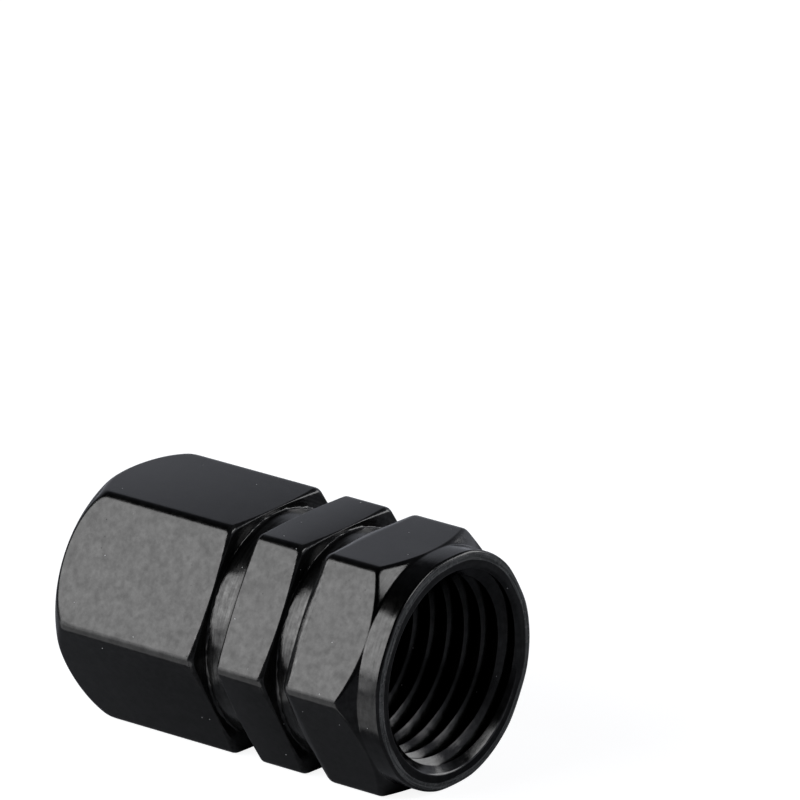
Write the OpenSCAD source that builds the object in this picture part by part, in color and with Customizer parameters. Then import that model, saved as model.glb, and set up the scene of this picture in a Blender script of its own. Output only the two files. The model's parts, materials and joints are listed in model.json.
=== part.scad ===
// Screw-on valve cap, turned from hexagonal aluminium bar, with a rubber seal ring inside.
// It lies on one flat of the hexagon. X runs along the cap with the open mouth at +X, and the
// origin is on the resting flat, under the middle of the cap.

/* [Hexagon bar] */
// Distance between opposite flats of the bar
across_flats = 9; // [8.9:0.1:11]
// Rounding of the six long edges of the bar
long_edge_r = 0.45; // [0.1:0.05:0.9]

/* [Closed end] */
// Diameter of the flat disc at the closed end
crown_flat_d = 6.34; // [5:0.1:7]
// Radius of the turned shoulder round that disc
shoulder_r = 2.1; // [2:0.05:2.6]

/* [Grip bands] */
// Length of the long band at the closed end
long_band = 7.48; // [7.4:0.1:11]
// Length of the short band in the middle
middle_band = 2.25; // [1:0.05:5]
// Length of the last band, up to where its corner chamfer starts
end_band = 2.61; // [1:0.01:5]
// Width of the groove after the long band
first_groove_w = 1.05; // [0.6:0.01:3]
// Width of the groove after the middle band
second_groove_w = 0.86; // [0.6:0.01:3]
// Depth of the grooves below the flats
groove_depth = 0.22; // [0.05:0.01:0.35]
// How much the band ends cut off the hexagon's corners, along the radius
corner_cut = 0.12; // [0.05:0.01:0.4]
// Length of that cut along the cap
corner_cut_len = 0.12; // [0.05:0.01:0.4]

/* [Collar] */
// How far the round collar stands beyond the flats
collar_proud = 0.03; // [0.01:0.01:0.3]
// Length of the collar, from the corner chamfer to the mouth
collar_len = 0.98; // [0.5:0.05:3]
// Slope of the corner chamfer, measured from the cap's axis
chamfer_angle = 51; // [35:1:65]
// Radius of the collar's outer edge at the mouth
rim_edge_r = 0.22; // [0.05:0.01:0.3]

/* [Bore and thread] */
// Wall between the flats and the thread's roots. On a 9 mm bar, 0.62 leaves room for the
// standard valve thread, which is 7.7 mm over its turns
flat_wall = 0.62; // [0.5:0.01:0.9]
// Height of the thread's turns, from their roots to their crests
thread_height = 0.405; // [0.3:0.005:0.5]
// Depth of the threaded bore below the mouth
thread_depth = 8.5; // [5:0.1:8.8]
// Angle of the lead-in at the mouth, measured from the axis
lead_in_angle = 45; // [30:1:60]
// How far the mouth of the lead-in is larger than the thread's roots, on the radius
lead_in_clearance = 0.01; // [0.01:0.01:0.1]

/* [Seal seat] */
// Length of the undercut that holds the seal ring
undercut_len = 1.85; // [1.8:0.05:2.1]
// Depth of the undercut outside the thread's roots, on the radius
undercut_clearance = 0.07; // [0.02:0.01:0.15]
// Diameter of the drill that made the blind hole's point
drill_d = 4.2; // [2:0.1:4.6]
// Point angle of that drill
drill_point_angle = 118; // [110:1:140]

/* [Seal ring] */
// Thickness of the round rubber section
seal_section = 1.5; // [1.2:0.05:1.7]
// Gap between the ring and the undercut's wall
seal_side_gap = 0.03; // [0.01:0.01:0.1]
// Gap between the ring and the seat behind it
seal_seat_gap = 0.02; // [0.01:0.01:0.1]

/* [Hidden] */
$fn = 96;
// Overlap that keeps a cut from ending flush with a face
eps = 0.01;

flat_r = across_flats / 2;
corner_r = (flat_r - long_edge_r) / cos(30) + long_edge_r;
// Larger than the bar, so a turned section that reaches it leaves the bar as it is
outside_r = flat_r / cos(30) + 1;

collar_r = flat_r + collar_proud;
groove_r = flat_r - groove_depth;
chamfer_len = (corner_r - collar_r) / tan(chamfer_angle);

// Places along the cap, counted from the closed end
groove_1_at = long_band;
middle_at = groove_1_at + first_groove_w;
groove_2_at = middle_at + middle_band;
end_band_at = groove_2_at + second_groove_w;
chamfer_at = end_band_at + end_band;
collar_at = chamfer_at + chamfer_len;
cap_length = collar_at + collar_len;

root_r = flat_r - flat_wall;
crest_r = root_r - thread_height;
mouth_r = root_r + lead_in_clearance;
lead_in_len = (mouth_r - crest_r) / tan(lead_in_angle);
undercut_r = root_r + undercut_clearance;
undercut_at = cap_length - thread_depth;
seat_at = undercut_at - undercut_len;
drill_point_len = drill_d / 2 / tan(drill_point_angle / 2);

seal_section_r = seal_section / 2;
seal_ring_r = undercut_r - seal_side_gap - seal_section_r;
seal_at = seat_at + seal_seat_gap + seal_section_r;

// Lays what is built along Z down on one flat of the hexagon, mouth towards +X
module lying() {
    translate([-cap_length / 2, 0, flat_r]) rotate([0, 90, 0]) children();
}

// The bar: three pairs of flats and six round edges, with corners towards +Y and -Y
module hexagon_bar() {
    flat_w = 2 * (flat_r - long_edge_r) * tan(30);
    edge_centre_r = (flat_r - long_edge_r) / cos(30);
    linear_extrude(cap_length) {
        for (turn = [0, 60, 120]) rotate(turn) square([across_flats, flat_w], center = true);
        for (turn = [30 : 60 : 330]) rotate(turn) translate([edge_centre_r, 0]) circle(long_edge_r);
    }
}

// Section of the long band: the flat disc and the round shoulder, which runs into the bar. Its
// circle reaches past the bar's corners
module crown_section() {
    disc_r = crown_flat_d / 2;
    square([disc_r, long_band]);
    translate([disc_r, shoulder_r]) circle(shoulder_r);
    translate([0, shoulder_r]) square([outside_r, long_band - shoulder_r]);
}

// Cone that takes the hexagon's corners off at a band's end; it points towards the closed end
// for a band that starts at z, and towards the mouth with flip set
module corner_cone(z, flip = false) {
    slope = corner_cut_len / corner_cut;
    reach = outside_r - (corner_r - corner_cut);
    translate([0, 0, z]) mirror([0, 0, flip ? 1 : 0])
        rotate_extrude() polygon([
            [corner_r - corner_cut, -eps],
            [outside_r + eps, -eps],
            [outside_r + eps, reach * slope],
            [outside_r, reach * slope],
            [corner_r - corner_cut, 0]
        ]);
}

// What the lathe leaves outside: bands, grooves, corner chamfer and collar
module turned_outside() {
    core_len = end_band_at - long_band + 2 * eps;
    rotate_extrude() crown_section();
    translate([0, 0, long_band - eps]) cylinder(r = groove_r, h = core_len);
    translate([0, 0, middle_at]) cylinder(r = outside_r, h = middle_band);
    translate([0, 0, end_band_at]) cylinder(r = outside_r, h = end_band);
    translate([0, 0, chamfer_at - eps])
        cylinder(r1 = corner_r + eps * tan(chamfer_angle), r2 = collar_r, h = chamfer_len + eps);
    rotate_extrude() collar_section();
}

// Section of the collar, with its rounded outer edge at the mouth
module collar_section() {
    edge_at = cap_length - rim_edge_r;
    translate([0, chamfer_at]) square([collar_r, edge_at - chamfer_at]);
    translate([0, chamfer_at]) square([collar_r - rim_edge_r, cap_length - chamfer_at]);
    translate([collar_r - rim_edge_r, edge_at]) circle(rim_edge_r);
}

// The blind hole: lead-in, thread bore, undercut for the seal and the drill's point
module bore() {
    translate([0, 0, undercut_at - eps]) cylinder(r = crest_r, h = thread_depth + 2 * eps);
    translate([0, 0, cap_length - lead_in_len])
        cylinder(r1 = crest_r, r2 = mouth_r + eps * tan(lead_in_angle), h = lead_in_len + eps);
    translate([0, 0, seat_at]) cylinder(r = undercut_r, h = undercut_len);
    translate([0, 0, seat_at - drill_point_len])
        cylinder(r1 = 0, r2 = drill_d / 2, h = drill_point_len + eps);
}

module cap_body() {
    color("#26272a") lying() difference() {
        intersection() {
            hexagon_bar();
            turned_outside();
        }
        for (z = [middle_at, end_band_at]) corner_cone(z);
        for (z = [groove_1_at, groove_2_at]) corner_cone(z, flip = true);
        bore();
    }
}

module seal_ring() {
    color("#141414") lying() translate([0, 0, seal_at])
        rotate_extrude() translate([seal_ring_r, 0]) circle(seal_section_r);
}

cap_body();
seal_ring();
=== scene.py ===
import json
import math

import bmesh
import bpy
from mathutils import Euler, Matrix, Vector


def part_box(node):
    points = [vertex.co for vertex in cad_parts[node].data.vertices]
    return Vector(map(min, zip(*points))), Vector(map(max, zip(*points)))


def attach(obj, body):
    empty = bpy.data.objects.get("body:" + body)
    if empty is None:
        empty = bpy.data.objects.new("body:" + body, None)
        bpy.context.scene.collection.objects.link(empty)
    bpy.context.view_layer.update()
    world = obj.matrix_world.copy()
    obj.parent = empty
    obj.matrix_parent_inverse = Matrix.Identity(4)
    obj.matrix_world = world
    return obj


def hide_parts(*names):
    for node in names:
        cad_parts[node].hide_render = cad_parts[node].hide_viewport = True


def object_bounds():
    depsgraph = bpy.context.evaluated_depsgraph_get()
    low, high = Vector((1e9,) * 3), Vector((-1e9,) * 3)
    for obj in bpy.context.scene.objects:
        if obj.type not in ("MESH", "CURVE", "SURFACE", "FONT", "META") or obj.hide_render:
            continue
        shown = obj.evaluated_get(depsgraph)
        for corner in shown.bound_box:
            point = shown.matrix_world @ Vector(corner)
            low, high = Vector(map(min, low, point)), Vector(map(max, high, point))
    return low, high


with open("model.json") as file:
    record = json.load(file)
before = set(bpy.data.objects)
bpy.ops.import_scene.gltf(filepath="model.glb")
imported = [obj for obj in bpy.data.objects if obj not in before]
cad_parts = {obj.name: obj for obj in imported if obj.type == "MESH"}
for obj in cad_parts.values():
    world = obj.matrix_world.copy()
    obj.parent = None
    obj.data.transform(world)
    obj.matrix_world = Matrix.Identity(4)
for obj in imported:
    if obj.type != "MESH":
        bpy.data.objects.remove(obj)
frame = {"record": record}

bl_info = {
    "name": "Tyre valve cap",
    "version": (1, 0, 0),
    "blender": (4, 5, 0),
    "location": "View3D > Sidebar > Valve cap",
    "description": "Models a hexagonal screw-on valve cap with its thread, its seal and a studio",
    "category": "Object",
}

# The edit tools' tolerances are made for metres, so every piece is modelled with 1 unit to the
# millimetre and brought to metres when it is finished
WORK = 1000.0
# Points closer than the first are one point, and edges shorter than the second are taken out
MERGE, SLIVER = 1e-4, 1e-5

CAD_LOW, CAD_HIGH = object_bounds()
AXIS_HEIGHT = (CAD_LOW.z + CAD_HIGH.z) / 2
THREAD_MOUNT = next(m for m in frame["record"]["mounts"] if m["name"] == "valve_thread")


class ValveCapSizes(bpy.types.PropertyGroup):
    """Sizes of the turned cap and its seal"""

    across_flats: bpy.props.FloatProperty(
        name="Across flats",
        description="Distance between opposite flats of the bar",
        default=CAD_HIGH.z - CAD_LOW.z,
        unit="LENGTH",
    )
    length: bpy.props.FloatProperty(
        name="Length",
        description="Whole length of the cap, from the closed end to the mouth",
        default=CAD_HIGH.x - CAD_LOW.x,
        unit="LENGTH",
    )
    long_edge_radius: bpy.props.FloatProperty(
        name="Long edge radius",
        description="Rounding of the six long edges of the bar",
        default=0.00045,
        unit="LENGTH",
    )
    crown_flat: bpy.props.FloatProperty(
        name="Crown flat",
        description="Diameter of the flat disc at the closed end",
        default=0.00634,
        unit="LENGTH",
    )
    shoulder_radius: bpy.props.FloatProperty(
        name="Shoulder radius",
        description="Radius of the turned shoulder round the disc",
        default=0.0021,
        unit="LENGTH",
    )
    arch_softness: bpy.props.FloatProperty(
        name="Arch softness",
        description="How softly the shoulder runs into the flats, along the radius",
        default=0.00012,
        unit="LENGTH",
    )
    long_band: bpy.props.FloatProperty(
        name="Long band",
        description="Length of the band at the closed end",
        default=0.00748,
        unit="LENGTH",
    )
    middle_band: bpy.props.FloatProperty(
        name="Middle band",
        description="Length of the short band in the middle",
        default=0.00225,
        unit="LENGTH",
    )
    first_groove: bpy.props.FloatProperty(
        name="First groove",
        description="Width of the groove after the long band",
        default=0.00105,
        unit="LENGTH",
    )
    second_groove: bpy.props.FloatProperty(
        name="Second groove",
        description="Width of the groove after the middle band",
        default=0.00086,
        unit="LENGTH",
    )
    groove_depth: bpy.props.FloatProperty(
        name="Groove depth",
        description="Depth of the grooves below the flats",
        default=0.00022,
        unit="LENGTH",
    )
    groove_fillet: bpy.props.FloatProperty(
        name="Groove fillet",
        description="Radius that the grooving tool's nose leaves beside a groove's floor",
        default=0.00006,
        unit="LENGTH",
    )
    edge_break: bpy.props.FloatProperty(
        name="Edge break",
        description="Rounding that tumbling leaves where a band's flats end at the groove after it",
        default=0.00004,
        unit="LENGTH",
    )
    rolled_edge: bpy.props.FloatProperty(
        name="Rolled edge",
        description="Length of the rounding of the middle band's edge towards the closed end",
        default=0.00013,
        unit="LENGTH",
    )
    rolled_drop: bpy.props.FloatProperty(
        name="Rolled edge's drop",
        description="How far that rounding falls below the flats",
        default=0.0001,
        unit="LENGTH",
    )
    worn_edge: bpy.props.FloatProperty(
        name="Worn edge",
        description="Length of the worn slope at the last band's edge towards the closed end",
        default=0.00042,
        unit="LENGTH",
    )
    worn_drop: bpy.props.FloatProperty(
        name="Worn edge's drop",
        description="How far that slope falls below the flats",
        default=0.00007,
        unit="LENGTH",
    )
    corner_break: bpy.props.FloatProperty(
        name="Corner break",
        description="Rounding that tumbling leaves where one of the bar's corners ends at a groove",
        default=0.00025,
        unit="LENGTH",
    )
    collar_proud: bpy.props.FloatProperty(
        name="Collar height",
        description="How far the round collar stands beyond the flats",
        default=0.00003,
        unit="LENGTH",
    )
    collar_length: bpy.props.FloatProperty(
        name="Collar length",
        description="Length of the collar, from the corner chamfer to the mouth",
        default=0.00098,
        unit="LENGTH",
    )
    mouth_edge: bpy.props.FloatProperty(
        name="Mouth's inner edge",
        description="Radius of the edge between the mouth's face and the lead-in",
        default=0.0002,
        unit="LENGTH",
    )
    chamfer_angle: bpy.props.FloatProperty(
        name="Chamfer angle",
        description="Slope of the corner chamfer, measured from the cap's axis",
        default=math.radians(51),
        subtype="ANGLE",
    )
    chamfer_softness: bpy.props.FloatProperty(
        name="Chamfer softness",
        description="How softly the corner chamfer runs into the flats, along the radius",
        default=0.00013,
        unit="LENGTH",
    )
    chamfer_foot: bpy.props.FloatProperty(
        name="Chamfer foot",
        description="How softly the corner chamfer runs into the collar, along the radius",
        default=0.00006,
        unit="LENGTH",
    )
    rim_length: bpy.props.FloatProperty(
        name="Rim length",
        description="Length over which the collar rounds off to the mouth",
        default=0.00012,
        unit="LENGTH",
    )
    rim_drop: bpy.props.FloatProperty(
        name="Rim drop",
        description="How much that rounding takes off the collar's radius",
        default=0.0002,
        unit="LENGTH",
    )
    thread_crest: bpy.props.FloatProperty(
        name="Thread crest radius",
        description="Radius of the thread's crests, the smallest part of the bore",
        default=THREAD_MOUNT["dims"]["r_mm"] / WORK,
        unit="LENGTH",
    )
    thread_height: bpy.props.FloatProperty(
        name="Thread height",
        description="Height of the thread's turns, from their roots to their crests",
        default=0.000405,
        unit="LENGTH",
    )
    crest_rounding: bpy.props.FloatProperty(
        name="Crest rounding",
        description="Radius of the edges of the thread's crests",
        default=0.00004,
        unit="LENGTH",
    )
    thread_pitch: bpy.props.FloatProperty(
        name="Thread pitch",
        description="Distance from one turn to the next, 32 turns to the inch",
        default=0.0254 / 32,
        unit="LENGTH",
    )
    thread_depth: bpy.props.FloatProperty(
        name="Thread depth",
        description="Depth of the threaded bore below the mouth",
        default=0.0085,
        unit="LENGTH",
    )
    lead_in_clearance: bpy.props.FloatProperty(
        name="Lead-in clearance",
        description="How far the mouth of the lead-in is larger than the thread's roots",
        default=0.00001,
        unit="LENGTH",
    )
    undercut_length: bpy.props.FloatProperty(
        name="Undercut length",
        description="Length of the undercut that holds the seal ring",
        default=0.00185,
        unit="LENGTH",
    )
    undercut_clearance: bpy.props.FloatProperty(
        name="Undercut clearance",
        description="Depth of the undercut outside the thread's roots, on the radius",
        default=0.00007,
        unit="LENGTH",
    )
    drill: bpy.props.FloatProperty(
        name="Drill",
        description="Diameter of the drill that made the blind hole's point",
        default=0.0042,
        unit="LENGTH",
    )
    flash: bpy.props.FloatProperty(
        name="Seal flash",
        description="Height of the parting line that moulding leaves on the seal ring",
        default=0.00003,
        unit="LENGTH",
    )


class ValveCapFinish(bpy.types.PropertyGroup):
    """Colours of the cap's finishes"""

    anodised: bpy.props.StringProperty(
        name="Anodised black",
        description="sRGB hex colour of the light that the black anodised metal gives back",
        default="#383838",
    )
    dust: bpy.props.StringProperty(
        name="Dust",
        description="sRGB hex colour of the specks of dust on the cap",
        default="#b9bcbd",
    )
    rubber: bpy.props.StringProperty(
        name="Seal rubber",
        description="sRGB hex colour of the seal ring",
        default="#1c1c1c",
    )


class ValveCapStudio(bpy.types.PropertyGroup):
    """The camera's place"""

    azimuth: bpy.props.FloatProperty(
        name="Azimuth",
        description="Turn of the camera round the cap, from straight in front of its side",
        default=math.radians(38.63),
        subtype="ANGLE",
    )
    elevation: bpy.props.FloatProperty(
        name="Elevation",
        description="Height of the camera above the horizon",
        default=math.radians(20.65),
        subtype="ANGLE",
    )
    roll: bpy.props.FloatProperty(
        name="Roll",
        description="Turn of the camera about its own line of sight",
        default=math.radians(-0.72),
        subtype="ANGLE",
    )
    distance: bpy.props.FloatProperty(
        name="Distance",
        description="Distance of the camera from the cap's origin, along its line of sight",
        default=0.415905,
        unit="LENGTH",
    )
    aim: bpy.props.FloatVectorProperty(
        name="Aim",
        description="How far right of the cap's origin and above it the camera looks",
        default=(0.0040967, 0.0124451),
        size=2,
        unit="LENGTH",
    )
    view_width: bpy.props.FloatProperty(
        name="View width",
        description="Width that the image takes in at that distance",
        default=0.02957,
        unit="LENGTH",
    )


def linear(hex_colour):
    """Turns an sRGB hex colour into the linear one that a shader takes."""
    parts = [int(hex_colour[i : i + 2], 16) / 255 for i in (1, 3, 5)]
    return tuple(c / 12.92 if c <= 0.04045 else ((c + 0.055) / 1.055) ** 2.4 for c in parts) + (1,)


def millimetres(group, name):
    """One of the sizes in the unit that the pieces are modelled in."""
    return getattr(group, name) * WORK


# Modelling


def deselect_all():
    if bpy.context.object and bpy.context.object.mode != "OBJECT":
        bpy.ops.object.mode_set(mode="OBJECT")
    bpy.ops.object.select_all(action="DESELECT")


def make_active(piece):
    deselect_all()
    piece.select_set(True)
    bpy.context.view_layer.objects.active = piece


def arc(centre, radius, start, end, steps):
    """Points of a round stretch of a profile, as places along the cap and radii."""
    angles = [start + (end - start) * i / steps for i in range(steps + 1)]
    return [(centre[0] + radius * math.sin(a), centre[1] + radius * math.cos(a)) for a in angles]


def draw_profile(name, points):
    """Draws a turned piece's profile above the X axis, one extruded point after another."""
    deselect_all()
    bpy.ops.mesh.primitive_plane_add(size=1, location=(0, 0, 0))
    piece = bpy.context.object
    piece.name = name
    bpy.ops.object.mode_set(mode="EDIT")
    bpy.ops.mesh.select_mode(type="VERT")
    bpy.ops.mesh.select_all(action="SELECT")
    bpy.ops.mesh.merge(type="CENTER")
    bpy.ops.transform.translate(value=(points[0][0], 0, points[0][1]))
    for before, after in zip(points, points[1:]):
        step = (after[0] - before[0], 0, after[1] - before[1])
        bpy.ops.mesh.extrude_region_move(TRANSFORM_OT_translate={"value": step})
    return piece


def turn(name, points, steps):
    """Turns a profile about the cap's axis into a closed piece."""
    piece = draw_profile(name, points)
    bpy.ops.mesh.select_all(action="SELECT")
    bpy.ops.mesh.spin(steps=steps, angle=2 * math.pi, center=(0, 0, 0), axis=(1, 0, 0))
    close(piece)
    return piece


def close(piece):
    """Merges what lies on itself and turns every face outwards."""
    make_active(piece)
    bpy.ops.object.mode_set(mode="EDIT")
    bpy.ops.mesh.select_all(action="SELECT")
    bpy.ops.mesh.remove_doubles(threshold=MERGE)
    bpy.ops.mesh.dissolve_degenerate(threshold=SLIVER)
    bpy.ops.mesh.select_all(action="SELECT")
    bpy.ops.mesh.normals_make_consistent(inside=False)
    bpy.ops.object.mode_set(mode="OBJECT")


def apply_modifier(piece, kind, **settings):
    make_active(piece)
    modifier = piece.modifiers.new(kind.title(), kind)
    for name, value in settings.items():
        setattr(modifier, name, value)
    bpy.ops.object.modifier_apply(modifier=modifier.name)


def cut(piece, tool):
    """Cuts a tool out of a piece. Each cut surface takes the tool's material."""
    name = tool.name
    apply_modifier(
        piece,
        "BOOLEAN",
        object=tool,
        operation="DIFFERENCE",
        solver="EXACT",
        material_mode="TRANSFER",
    )
    bpy.data.objects.remove(tool)
    if not piece.data.polygons:
        raise RuntimeError(f"nothing is left of {piece.name} after the cut with {name}")


def finish_piece(piece, sharp_angle, node):
    """Smooths a piece modelled on the X axis, lifts it to the cap's axis, brings it to metres,
    hangs it on the root body and hides the CAD part that it stands for."""
    make_active(piece)
    bpy.ops.object.shade_smooth_by_angle(angle=sharp_angle)
    piece.location = (0, 0, AXIS_HEIGHT)
    piece.scale = (1 / WORK,) * 3
    bpy.ops.object.transform_apply(location=True, rotation=True, scale=True)
    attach(piece, "root")
    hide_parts(node)


# Materials

# Height in metres of the marks on the metal: a micrometre, as a fine cut leaves them
RELIEF = 1.2e-6
# Nearly all of a noise lies in this range, which is spread over 0 to 1
NOISE_SPAN = {"From Min": 0.33, "From Max": 0.67}


def add(tree, kind, settings=(), links=()):
    """Adds a node with its settings, its constants and its links, and returns it. A link comes
    from a socket, or from a node's first output."""
    node = tree.nodes.new(kind)
    for name, value in dict(settings).items():
        if isinstance(name, str) and hasattr(node, name):
            setattr(node, name, value)
        else:
            node.inputs[name].default_value = value
    for name, source in dict(links).items():
        socket = source.outputs[0] if isinstance(source, bpy.types.Node) else source
        tree.links.new(socket, node.inputs[name])
    return node


def new_material(name):
    material = bpy.data.materials.new(name)
    material.use_nodes = True
    material.node_tree.nodes.clear()
    return material, material.node_tree


def in_millimetres(tree, height=0.0):
    """Object coordinates in millimetres, counted from this height in metres."""
    place = add(tree, "ShaderNodeTexCoord").outputs["Object"]
    settings = {"Location": (0, 0, -height * WORK), "Scale": (WORK,) * 3}
    return add(tree, "ShaderNodeMapping", settings, {"Vector": place})


def round_the_axis(tree, place):
    """Coordinates that stay nearly the same round the cap's axis: place along it and radius, with
    a little of the angle, so that a turned mark comes and goes on its way round."""
    angle_share = 0.22
    x, y, z = add(tree, "ShaderNodeSeparateXYZ", {}, {0: place}).outputs
    across = add(tree, "ShaderNodeCombineXYZ", {}, {"Y": y, "Z": z})
    radius = add(tree, "ShaderNodeVectorMath", {"operation": "LENGTH"}, {0: across})
    angle = add(tree, "ShaderNodeMath", {"operation": "ARCTAN2"}, {0: y, 1: z})
    drift = add(tree, "ShaderNodeMath", {"operation": "MULTIPLY", 1: angle_share}, {0: angle})
    turned = {"X": x, "Y": radius.outputs["Value"], "Z": drift}
    return add(tree, "ShaderNodeCombineXYZ", {}, turned)


def anodised_material(name, hex_colour, dust_hex, roughness, mottle, rings, lay, chalk):
    """Black anodised aluminium. The dyed oxide takes up nearly all the light, so the metal
    shows what it mirrors, softly. mottle is the strength of the bar's cloudy grain, rings that
    of the tool's turning marks, lay that of the drawn bar's lines along the cap, and chalk the
    share of light that worn metal scatters, in streaks along its turning marks."""
    material, tree = new_material(name)
    mm = in_millimetres(tree, AXIS_HEIGHT)
    drawn = add(tree, "ShaderNodeMapping", {"Scale": (0.5, 7.0, 7.0)}, {"Vector": mm})
    # Each pattern's coordinates, how many of its humps go to the unit, its detail and roughness
    noises = (
        # Clouds of about 0.6 mm
        (mm, 1.6, 4.0, 0.6),
        # Blotches of 0.25 mm
        (mm, 3.8, 2.0, 0.6),
        # The grain of tumbling, 0.045 mm
        (mm, 22.0, 2.0, 0.6),
        # Turning marks 0.08 mm apart, which come and go over 1.5 mm
        (round_the_axis(tree, mm), 13.0, 3.0, 0.7),
        # Drawn lines 0.14 mm apart and 2 mm long
        (drawn, 1.0, 4.0, 0.6),
    )
    patterns = []
    for place, scale, detail, rough in noises:
        settings = {"Scale": scale, "Detail": detail, "Roughness": rough}
        noise = add(tree, "ShaderNodeTexNoise", settings, {"Vector": place})
        patterns.append(add(tree, "ShaderNodeMapRange", NOISE_SPAN, {"Value": noise}))
    cloud, blotch, grain, ring_marks, bar_lines = patterns
    # Pits and specks of dust, 0.05 mm across, as cells to the millimetre and a spot's radius in
    # cells: a pit to every 3 square millimetres of surface, and a speck to every 7
    spots = []
    for scale, size in ((1.8, 0.05), (1.4, 0.036)):
        cells = add(tree, "ShaderNodeTexVoronoi", {"Scale": scale}, {"Vector": mm})
        settings = {"From Min": size * 0.6, "From Max": size, "To Min": 1.0, "To Max": 0.0}
        spots.append(add(tree, "ShaderNodeMapRange", settings, {"Value": cells}))
    pits, dust_specks = spots

    factors = (
        (cloud, 1 - mottle * 0.6, 1 + mottle * 0.6),
        (blotch, 1 - mottle, 1 + mottle),
        (grain, 1 - mottle * 0.25, 1 + mottle * 0.25),
        (ring_marks, 1 - rings * 0.3, 1 + rings * 0.3),
        (pits, 1.0, 0.3),
    )
    tone = None
    for pattern, low, high in factors:
        settings = {"To Min": low, "To Max": high}
        factor = add(tree, "ShaderNodeMapRange", settings, {"Value": pattern})
        both = {0: tone, 1: factor}
        tone = add(tree, "ShaderNodeMath", {"operation": "MULTIPLY"}, both) if tone else factor
    dyed = add(
        tree,
        "ShaderNodeVectorMath",
        {"operation": "SCALE", 0: linear(hex_colour)[:3]},
        {"Scale": tone},
    )
    gloss = add(
        tree,
        "ShaderNodeMapRange",
        {"To Min": roughness - 0.03, "To Max": roughness + 0.03},
        {"Value": blotch},
    )
    bumps = {}
    for strength, height in ((rings, ring_marks), (lay, bar_lines), (0.5, grain)):
        settings = {"Strength": strength, "Distance": RELIEF}
        bumps = {"Normal": add(tree, "ShaderNodeBump", settings, {"Height": height, **bumps})}
    metal = add(
        tree,
        "ShaderNodeBsdfPrincipled",
        {"Metallic": 1.0},
        {"Base Color": dyed, "Roughness": gloss, **bumps},
    )
    dust = add(
        tree,
        "ShaderNodeBsdfPrincipled",
        {"Base Color": linear(dust_hex), "Roughness": 0.9},
    )
    worn = add(
        tree,
        "ShaderNodeMapRange",
        {"From Min": 0.2, "From Max": 0.8, "To Min": chalk * 0.5, "To Max": chalk * 1.5},
        {"Value": ring_marks},
    )
    scatter = add(tree, "ShaderNodeMath", {"operation": "MAXIMUM"}, {0: dust_specks, 1: worn})
    mixed = add(tree, "ShaderNodeMixShader", {}, {0: scatter, 1: metal, 2: dust})
    add(tree, "ShaderNodeOutputMaterial", {}, {"Surface": mixed})
    return material


def rubber_material(name, hex_colour):
    """Moulded nitrile rubber: matt black with a faint bloom and the fine grain of its mould."""
    material, tree = new_material(name)
    mm = in_millimetres(tree)
    # A bloom in clouds of 0.55 mm, and a grain of 0.05 mm
    cloudy = {"Scale": 1.8, "Detail": 4.0, "Roughness": 0.6}
    bloom = add(tree, "ShaderNodeTexNoise", cloudy, {"Vector": mm})
    grain = add(tree, "ShaderNodeTexNoise", {"Scale": 20.0, "Detail": 2.0}, {"Vector": mm})
    tone, rough = (
        add(
            tree,
            "ShaderNodeMapRange",
            {"From Min": 0.3, "From Max": 0.7, "To Min": low, "To Max": high},
            {"Value": bloom},
        )
        for low, high in ((0.75, 1.35), (0.55, 0.75))
    )
    colour = add(
        tree,
        "ShaderNodeVectorMath",
        {"operation": "SCALE", 0: linear(hex_colour)[:3]},
        {"Scale": tone},
    )
    bump = add(tree, "ShaderNodeBump", {"Strength": 0.4, "Distance": 6e-6}, {"Height": grain})
    skin = add(
        tree,
        "ShaderNodeBsdfPrincipled",
        {"IOR": 1.52},
        {"Base Color": colour, "Roughness": rough, "Normal": bump},
    )
    add(tree, "ShaderNodeOutputMaterial", {}, {"Surface": skin})
    return material


# Pieces. The lengths here are in millimetres

# Angle from one flat of the hexagon to the next
SIDE = math.radians(60)
# Points along one flat of the hexagon, and round one of its corners
FLAT_STEPS, EDGE_STEPS = 34, 12
# Rings on the flat disc at the closed end, as shares of its radius
DISC_RINGS = (0.4, 0.8, 1)
# Steps over a small rounding, over the edge of a thread's crest, and over the place where two
# surfaces run into each other
ROUNDING_STEPS, CREST_STEPS, BLEND_STEPS = 5, 4, 10
# Steps over a groove's far edge, over half of the chamfer's foot, and over the rim
FAR_STEPS, FOOT_STEPS, RIM_STEPS = 8, 4, 14
# The rim's step from which it is worn, and how far the worn lip goes on over the mouth's face
LIP_STEP, LIP_WIDTH = 9, 0.15
# The mouth's face goes in to this radius, which is inside what the bore takes away
FACE_CORE = 1.0
# Size of the fillet at a groove's floor where the tool came in, and how much it varies, both
# as shares of the other fillet's size
FOOT_SIZE, FOOT_WANDER = 1.6, 1.4
# Waves of that variation: how many go round the cap, and the share of each
WAVES = ((7, 0.3), (17, 0.25), (41, 0.25), (67, 0.2))
# Steps round the bore, and round one turn of the thread
ROUND_STEPS, THREAD_STEPS = 192, 96
# How much smaller the bore tool is than the thread's crests, so that the tap cuts all of them
TAP_COVER = 0.03
# How far the bore tool and the tap reach past what they cut
BORE_SPARE, TAP_SPARE = 1, 0.5
# Width of the flat at the thread's roots
ROOT_FLAT = 0.26
# Slope of the thread's flanks, half of the drill's point and the slope of the lead-in
FLANK, DRILL_POINT, LEAD_IN = math.radians(30), math.radians(59), math.radians(45)
# Steps round the seal's section, and round the ring
SEAL_STEPS, SEAL_ROUND_STEPS = 32, 128
# Edges sharper than this stay sharp, on the body and on the seal
BODY_SHARP, SEAL_SHARP = math.radians(32), math.radians(40)


def soft_min(first, second, blend):
    """The smaller of two radii, rounded off where they are within blend of each other."""
    gap = max(blend - abs(first - second), 0)
    return min(first, second) - gap * gap / (4 * blend)


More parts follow.
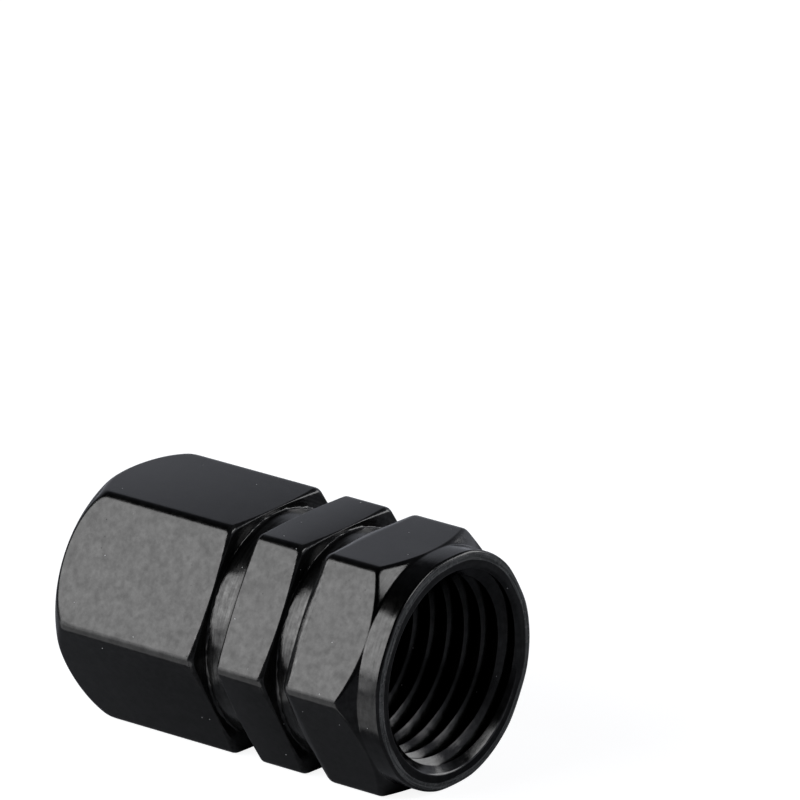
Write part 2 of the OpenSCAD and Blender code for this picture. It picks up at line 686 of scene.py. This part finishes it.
def bar_corner(sizes):
    """Distance from the axis to the top of the bar's rounded corners."""
    rounding = millimetres(sizes, "long_edge_radius")
    flat_r = millimetres(sizes, "across_flats") / 2
    return (flat_r - rounding) / math.cos(SIDE / 2) + rounding


def bar_section(sizes):
    """The hexagonal bar's section with its rounded corners, as angles from +Z and radii."""
    flat_r = millimetres(sizes, "across_flats") / 2
    rounding = millimetres(sizes, "long_edge_radius")
    half = (flat_r - rounding) * math.tan(SIDE / 2)
    points = [(flat_r, half * (2 * i / FLAT_STEPS - 1)) for i in range(FLAT_STEPS)]
    for i in range(EDGE_STEPS):
        a = SIDE * i / EDGE_STEPS
        points.append((flat_r - rounding + rounding * math.cos(a), half + rounding * math.sin(a)))
    section = []
    for side in range(6):
        for out, across in points:
            section.append((SIDE * side + math.atan2(across, out), math.hypot(out, across)))
    return section


def crown_line(sizes, start, bar_r):
    """From the flat disc over the round shoulder to the bar, as places along the cap, radii and
    the finish from there on."""
    disc_r = millimetres(sizes, "crown_flat") / 2
    shoulder = millimetres(sizes, "shoulder_radius")
    blend = millimetres(sizes, "arch_softness")
    line = [(start, disc_r * share, "turned") for share in DISC_RINGS]
    first = math.asin((bar_r - blend - disc_r) / shoulder)
    turned = [disc_r + shoulder * math.sin(first * i / BLEND_STEPS) for i in range(1, BLEND_STEPS)]
    turned += [bar_r - blend + 2 * blend * i / BLEND_STEPS for i in range(BLEND_STEPS + 1)]
    # The bar's own surface begins just past the place where the two meet
    bar_from = bar_r + blend * 0.3
    for r in turned:
        x = start + shoulder * (1 - math.cos(math.asin((r - disc_r) / shoulder)))
        line.append((x, soft_min(bar_r, r, blend), "bar" if r > bar_from else "turned"))
    return line


def wander(angle, seed):
    """Uneven burr left by the grooving tool: a sum of waves round the cap, between -1 and 1."""
    return sum(size * math.sin(count * angle + seed * count) for count, size in WAVES)


def groove_line(sizes, start, width, far_edge, angle, bar_r):
    """One groove, from the edge of the band before it to the edge of the band after it, where
    far_edge is the length and the depth of the rounding."""
    end = start + width
    flat_r = millimetres(sizes, "across_flats") / 2
    floor_r = flat_r - millimetres(sizes, "groove_depth")
    fillet = millimetres(sizes, "groove_fillet")
    # 0 on the middle of a flat and 1 on a corner
    cornering = (bar_r - flat_r) / (bar_corner(sizes) - flat_r)
    corner = millimetres(sizes, "corner_break")
    near = millimetres(sizes, "edge_break")
    near += (corner - near) * cornering
    length, drop = far_edge
    length += max(corner - length, 0) * cornering
    drop += (corner - drop) * cornering
    foot = fillet * (FOOT_SIZE + FOOT_WANDER * wander(angle, start))
    line = arc((start - near, bar_r - near), near, 0, math.pi / 2, ROUNDING_STEPS)
    line += arc((start + foot, floor_r + foot), -foot, math.pi / 2, 0, ROUNDING_STEPS)
    line += arc((end - fillet, floor_r + fillet), -fillet, 0, -math.pi / 2, ROUNDING_STEPS)
    for i in range(FAR_STEPS + 1):
        line.append((end + length * i / FAR_STEPS, bar_r - drop * (1 - i / FAR_STEPS) ** 2))
    return [(x, r, "grooved") for x, r in line[:-1]] + [(*line[-1], "bar")]


def collar_line(sizes, mouth, bar_r):
    """The corner chamfer, the collar, its round edge and the flat mouth. Its points lie where the
    chamfer leaves the bar and where it meets the collar, so that both show as smooth curves."""
    collar_r = millimetres(sizes, "across_flats") / 2 + millimetres(sizes, "collar_proud")
    collar_at = mouth - millimetres(sizes, "collar_length")
    slope = 1 / math.tan(sizes.chamfer_angle)
    blend = millimetres(sizes, "chamfer_softness")
    foot = millimetres(sizes, "chamfer_foot")
    meet = collar_at - max(bar_r - collar_r, 0) * slope
    # A little more than the blend takes up along the cap
    reach = blend * slope * 1.1
    places = [meet - reach + 2 * reach * i / BLEND_STEPS for i in range(BLEND_STEPS + 1)]
    foot_places = 2 * FOOT_STEPS + 1
    spare = (collar_at + reach + foot - places[-1]) / (foot_places + 1)
    for i in range(foot_places):
        on_foot = collar_at + foot * slope * (i / FOOT_STEPS - 1)
        places.append(max(on_foot, meet + reach + spare * (i + 1)))
    line = []
    for x in places:
        cone = collar_r + (collar_at - x) / slope
        turned_r = -soft_min(-cone, -collar_r, foot)
        finish = "bar" if x < meet - SLIVER else "turned"
        line.append((x, soft_min(bar_r, turned_r, blend), finish))
    rim, drop = millimetres(sizes, "rim_length"), millimetres(sizes, "rim_drop")
    face_r = line[-1][1] - drop
    for i in range(RIM_STEPS + 1):
        a = math.radians(90) * i / RIM_STEPS
        finish = "turned" if i < LIP_STEP else "lip"
        line.append((mouth - rim * (1 - math.sin(a)), face_r + drop * math.cos(a), finish))
    return line + [(mouth, face_r - LIP_WIDTH, "turned"), (mouth, FACE_CORE, "turned")]


def cap_line(sizes, angle, bar_r):
    """The outside of the cap in one plane through its axis, where the bar reaches out to bar_r."""
    length = millimetres(sizes, "length")
    start = -length / 2
    groove_1 = start + millimetres(sizes, "long_band")
    first, second = millimetres(sizes, "first_groove"), millimetres(sizes, "second_groove")
    groove_2 = groove_1 + first + millimetres(sizes, "middle_band")
    line = crown_line(sizes, start, bar_r)
    rolled = millimetres(sizes, "rolled_edge"), millimetres(sizes, "rolled_drop")
    worn = millimetres(sizes, "worn_edge"), millimetres(sizes, "worn_drop")
    line += groove_line(sizes, groove_1, first, rolled, angle, bar_r)
    line += groove_line(sizes, groove_2, second, worn, angle, bar_r)
    return line + collar_line(sizes, length / 2, bar_r)


def turned_outside(sizes, materials):
    """The bar with what the lathe leaves of it. Boolean cuts leave splinters that no bevel can
    round, so the outside is lofted: one line along the cap for each point of the bar's section."""
    section = bar_section(sizes)
    lines = [cap_line(sizes, *point) for point in section]
    mesh = bpy.data.meshes.new("turned_cap")
    body = bpy.data.objects.new("turned_cap", mesh)
    bpy.context.scene.collection.objects.link(body)
    shell = bmesh.new()
    rings = []
    for place in range(len(lines[0])):
        ring = []
        for (angle, _), line in zip(section, lines):
            x, r, _ = line[place]
            ring.append(shell.verts.new((x, r * math.sin(angle), r * math.cos(angle))))
        rings.append(ring)
    slots = list(materials)
    for place, (ring, following) in enumerate(zip(rings, rings[1:])):
        for i in range(len(section)):
            after = (i + 1) % len(section)
            face = shell.faces.new((ring[i], ring[after], following[after], following[i]))
            face.material_index = slots.index(lines[i][place][2])
    for ring in (rings[0], rings[-1]):
        shell.faces.new(ring).material_index = slots.index("turned")
    shell.to_mesh(mesh)
    shell.free()
    for material in materials.values():
        mesh.materials.append(material)
    close(body)
    return body


def bore_tool(sizes, material):
    """The blind hole's drill, undercut and lead-in as one turned cutter."""
    mouth = millimetres(sizes, "length") / 2
    crest = millimetres(sizes, "thread_crest")
    root = crest + millimetres(sizes, "thread_height")
    lead_r = root + millimetres(sizes, "lead_in_clearance")
    undercut_r = root + millimetres(sizes, "undercut_clearance")
    undercut_end = mouth - millimetres(sizes, "thread_depth")
    seat = undercut_end - millimetres(sizes, "undercut_length")
    drill_r = millimetres(sizes, "drill") / 2
    edge = millimetres(sizes, "mouth_edge")
    flare_r = lead_r + edge * math.tan(math.pi / 4 - LEAD_IN / 2)
    flare = arc((mouth - edge, flare_r), edge, math.pi - LEAD_IN, math.pi / 2, ROUNDING_STEPS)
    points = [
        (seat - drill_r / math.tan(DRILL_POINT), 0),
        (seat, drill_r),
        (seat, undercut_r),
        (undercut_end, undercut_r),
        (undercut_end, crest - TAP_COVER),
        (mouth - (lead_r - crest + TAP_COVER) / math.tan(LEAD_IN), crest - TAP_COVER),
        *flare,
        (mouth + BORE_SPARE, flare_r),
        (mouth + BORE_SPARE, 0),
    ]
    tool = turn("bore_tool", points, ROUND_STEPS)
    tool.data.materials.append(material)
    return tool


def tap_tooth(sizes):
    """One turn of the tap in section, from the middle of one crest of the cap's thread to the
    next: the crest, its rounded edge, a flank, the root, and the same again mirrored."""
    pitch = millimetres(sizes, "thread_pitch")
    height = millimetres(sizes, "thread_height")
    crest = millimetres(sizes, "thread_crest")
    rounding = millimetres(sizes, "crest_rounding")
    root_half = ROOT_FLAT / 2
    flank_foot = root_half + height * math.tan(FLANK)
    centre = (flank_foot + rounding * math.tan(FLANK), crest + rounding)
    edge = arc(centre, -rounding, 0, math.pi / 2 - FLANK, CREST_STEPS)
    half = [(pitch / 2, crest), *edge, (root_half, crest + height)]
    return [(pitch / 2 - x, r) for x, r in half] + [(pitch / 2 + x, r) for x, r in reversed(half)]


def tap(sizes, material):
    """A threaded rod that cuts the right-hand thread, made by screwing one tooth's section. It
    has two turns too many at each end, and is then cut to length."""
    mouth = millimetres(sizes, "length") / 2
    pitch = millimetres(sizes, "thread_pitch")
    thread_end = mouth - millimetres(sizes, "thread_depth")
    rod_start = thread_end - 2 * pitch
    rod = draw_profile("tap", [(rod_start + x, r) for x, r in tap_tooth(sizes)])
    bpy.ops.object.mode_set(mode="OBJECT")
    apply_modifier(
        rod,
        "SCREW",
        axis="X",
        screw_offset=pitch,
        iterations=math.ceil((mouth - rod_start) / pitch) + 2,
        steps=THREAD_STEPS,
        render_steps=THREAD_STEPS,
        use_merge_vertices=True,
        merge_threshold=MERGE,
        use_smooth_shade=False,
    )
    for x, outward in ((thread_end - TAP_SPARE, -1), (mouth + TAP_SPARE, 1)):
        make_active(rod)
        bpy.ops.object.mode_set(mode="EDIT")
        bpy.ops.mesh.select_all(action="SELECT")
        bpy.ops.mesh.bisect(
            plane_co=(x, 0, 0),
            plane_no=(outward, 0, 0),
            use_fill=True,
            clear_outer=True,
            threshold=SLIVER,
        )
    close(rod)
    rod.data.materials.append(material)
    return rod


def cap_materials(finish):
    """The cap's finishes, one for each way that its surface was made, as roughness, mottle,
    rings, lay and chalk."""
    made = {
        # Drawn and tumbled: a satin sheen that is cloudy, with faint lines along the cap
        "bar": ("drawn_bar", 0.22, 0.16, 0.0, 0.15, 0.0),
        # Turned: a tighter sheen, broken by fine rings
        "turned": ("turned", 0.17, 0.18, 0.5, 0.0, 0.0),
        # Cut by the grooving tool: coarser rings, and a touch of dull metal between them
        "grooved": ("grooved", 0.16, 0.25, 1.0, 0.0, 0.01),
        # Turned and then worn at the lip: dull and greyish, in streaks round the mouth
        "lip": ("worn", 0.26, 0.2, 0.7, 0.0, 0.12),
        # Tapped: smooth enough for each turn to mirror a clear line of light
        "bore": ("tapped", 0.14, 0.2, 0.5, 0.0, 0.0),
    }
    return {
        key: anodised_material("anodised_aluminium_" + name, finish.anodised, finish.dust, *values)
        for key, (name, *values) in made.items()
    }


class VALVECAP_OT_body(bpy.types.Operator):
    """Model the cap: the hexagonal bar, turned outside, bored and tapped"""

    bl_idname = "valvecap.body"
    bl_label = "Cap body"

    def execute(self, context):
        sizes = context.scene.valve_cap_sizes
        materials = cap_materials(context.scene.valve_cap_finish)
        body = turned_outside(sizes, materials)
        cut(body, bore_tool(sizes, materials["bore"]))
        cut(body, tap(sizes, materials["bore"]))
        finish_piece(body, BODY_SHARP, "cap_body")
        return {"FINISHED"}


class VALVECAP_OT_seal(bpy.types.Operator):
    """Model the moulded seal ring at the blind end of the thread"""

    bl_idname = "valvecap.seal"
    bl_label = "Seal ring"

    def execute(self, context):
        sizes = context.scene.valve_cap_sizes
        # The round section and its middle, from the box of the ring that the piece replaces
        low, high = (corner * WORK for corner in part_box("seal_ring"))
        section = (high.x - low.x) / 2
        centre = ((low.x + high.x) / 2, (high.z - low.z) / 2 - section)
        flash = millimetres(sizes, "flash")
        points = arc(centre, section, 0, 2 * math.pi, SEAL_STEPS)
        for i in (0, SEAL_STEPS // 2, SEAL_STEPS):
            x, r = points[i]
            points[i] = (x, r + (flash if r > centre[1] else -flash))
        ring = turn("moulded_seal", points, SEAL_ROUND_STEPS)
        hex_colour = context.scene.valve_cap_finish.rubber
        ring.data.materials.append(rubber_material("nitrile_rubber_moulded", hex_colour))
        finish_piece(ring, SEAL_SHARP, "seal_ring")
        return {"FINISHED"}


# Studio

# The lamps: name, azimuth and elevation in degrees as seen from the cap, distance, width and
# height in metres, and radiance, where 1 is the white of the background. The flats, the groove
# floors and the collar mirror the three key lamps, the corner chamfer and the lead-in the side
# box, and the thread's flanks the strip. The floor card lies in front of the cap and gives its
# lower roundings something to mirror
LAMPS = (
    ("key_box", -38, 28, 0.3, 0.27, 0.205, 4.6),
    ("key_skirt", -38, 5, 0.3, 0.27, 0.045, 3.2),
    ("key_card", -38, -4.7, 0.025, 0.024, 0.0049, 2.0),
    ("side_box", 107, 35, 0.3, 0.14, 0.075, 4.8),
    ("back_strip", 150, 15, 0.3, 0.15, 0.08, 4.5),
    ("floor_card", -31.6, -16, 0.0159, 0.03, 0.012, 0.9),
)
# Width of the floor in metres
FLOOR_SIZE = 3


def area_light(name, azimuth, elevation, distance, width, height, radiance):
    """A soft box that faces the cap, placed by its direction and distance from it."""
    a, e = math.radians(azimuth), math.radians(elevation)
    back = Vector((math.sin(a) * math.cos(e), -math.cos(a) * math.cos(e), math.sin(e)))
    lamp = bpy.data.lights.new(name, "AREA")
    lamp.shape = "RECTANGLE"
    lamp.size, lamp.size_y = width, height
    lamp.energy = radiance * math.pi * width * height
    box = bpy.data.objects.new(name, lamp)
    box.location = back * distance + Vector((0, 0, AXIS_HEIGHT))
    box.rotation_euler = Euler((math.pi / 2 - e, 0, a))
    box.visible_camera = False
    bpy.context.scene.collection.objects.link(box)


def studio_world():
    """White to the camera. What the metal mirrors is the pale wall behind the cap, which goes
    dark overhead and towards the front of the room."""
    world = bpy.data.worlds.new("studio")
    bpy.context.scene.world = world
    world.use_nodes = True
    tree = world.node_tree
    tree.nodes.clear()
    direction = add(tree, "ShaderNodeTexCoord").outputs["Generated"]
    _, y, z = add(tree, "ShaderNodeSeparateXYZ", {}, {0: direction}).outputs
    # Brightest at the horizon, even above it, dark overhead, and dim towards the front
    low_wall, high_wall, to_front = (
        add(
            tree,
            "ShaderNodeMapRange",
            {"From Min": start, "From Max": end, "To Min": low, "To Max": high},
            {"Value": part},
        )
        for part, start, end, low, high in (
            (z, 0.05, 0.2, 0.3, 0.0),
            (z, 0.42, 0.6, 0.46, 0.07),
            (y, -0.2, 0.3, 0.12, 1.0),
        )
    )
    wall = add(tree, "ShaderNodeMath", {"operation": "ADD"}, {0: low_wall, 1: high_wall})
    wall = add(tree, "ShaderNodeMath", {"operation": "MULTIPLY"}, {0: wall, 1: to_front})
    room = add(tree, "ShaderNodeBackground", {"Color": (0.87, 0.9, 1, 1)}, {"Strength": wall})
    white = add(tree, "ShaderNodeBackground", {"Color": (1, 1, 1, 1), "Strength": 1.0})
    ray = add(tree, "ShaderNodeLightPath").outputs["Is Camera Ray"]
    mixed = add(tree, "ShaderNodeMixShader", {}, {0: ray, 1: room, 2: white})
    add(tree, "ShaderNodeOutputWorld", {}, {"Surface": mixed})


def floor_material():
    """Matt white paper. Its lift to the camera makes the lit paper white and keeps the shadow."""
    material, tree = new_material("studio_paper")
    paper = add(tree, "ShaderNodeBsdfDiffuse", {"Color": (0.31, 0.32, 0.345, 1)})
    ray = add(tree, "ShaderNodeLightPath").outputs["Is Camera Ray"]
    lift = add(tree, "ShaderNodeMath", {"operation": "MULTIPLY", 1: 0.9}, {0: ray})
    glow = add(tree, "ShaderNodeEmission", {}, {"Strength": lift})
    both = add(tree, "ShaderNodeAddShader", {}, {0: paper, 1: glow})
    add(tree, "ShaderNodeOutputMaterial", {}, {"Surface": both})
    return material


def add_camera(studio):
    """The camera at the photograph's viewing angle, with the cap low and left in its view."""
    data = bpy.data.cameras.new("camera")
    data.sensor_width = 36
    data.lens = data.sensor_width * studio.distance / studio.view_width
    data.clip_start, data.clip_end = 0.01, 10
    camera = bpy.data.objects.new("camera", data)
    turned = Euler((math.pi / 2 - studio.elevation, 0, studio.azimuth)).to_matrix()
    turned = turned @ Matrix.Rotation(studio.roll, 3, "Z")
    right, up, back = turned.col
    camera.location = right * studio.aim[0] + up * studio.aim[1] + back * studio.distance
    camera.rotation_euler = turned.to_euler()
    bpy.context.scene.collection.objects.link(camera)
    bpy.context.scene.camera = camera


class VALVECAP_OT_stage(bpy.types.Operator):
    """Set up the floor, the soft light and the camera"""

    bl_idname = "valvecap.stage"
    bl_label = "Studio"

    def execute(self, context):
        add_camera(context.scene.valve_cap_studio)
        deselect_all()
        bpy.ops.mesh.primitive_plane_add(size=FLOOR_SIZE, location=(0, 0, 0))
        floor = context.object
        floor.name = "studio_floor"
        floor.data.materials.append(floor_material())
        for lamp in LAMPS:
            area_light(*lamp)
        # The floor card faces straight up
        bpy.data.objects["floor_card"].rotation_euler = (math.pi, 0, 0)
        studio_world()
        context.scene.view_settings.view_transform = "Standard"
        return {"FINISHED"}


class VIEW3D_PT_valve_cap(bpy.types.Panel):
    """The cap's sizes, finishes and steps"""

    bl_label = "Valve cap"
    bl_space_type = "VIEW_3D"
    bl_region_type = "UI"
    bl_category = "Valve cap"

    def draw(self, context):
        for group in ("valve_cap_sizes", "valve_cap_finish", "valve_cap_studio"):
            box = self.layout.box()
            owner = getattr(context.scene, group)
            for name in owner.bl_rna.properties.keys():
                if name not in ("rna_type", "name"):
                    box.prop(owner, name)
        for operator in OPERATORS:
            self.layout.operator(operator.bl_idname)


GROUPS = {
    "valve_cap_sizes": ValveCapSizes,
    "valve_cap_finish": ValveCapFinish,
    "valve_cap_studio": ValveCapStudio,
}
OPERATORS = (VALVECAP_OT_stage, VALVECAP_OT_body, VALVECAP_OT_seal)


def register():
    for name, group in GROUPS.items():
        bpy.utils.register_class(group)
        setattr(bpy.types.Scene, name, bpy.props.PointerProperty(type=group))
    for operator in OPERATORS:
        bpy.utils.register_class(operator)
    bpy.utils.register_class(VIEW3D_PT_valve_cap)


def unregister():
    bpy.utils.unregister_class(VIEW3D_PT_valve_cap)
    for operator in reversed(OPERATORS):
        bpy.utils.unregister_class(operator)
    for name, group in GROUPS.items():
        delattr(bpy.types.Scene, name)
        bpy.utils.unregister_class(group)


def main():
    register()
    bpy.ops.valvecap.stage()
    bpy.ops.valvecap.body()
    bpy.ops.valvecap.seal()


if __name__ == "__main__":
    main()
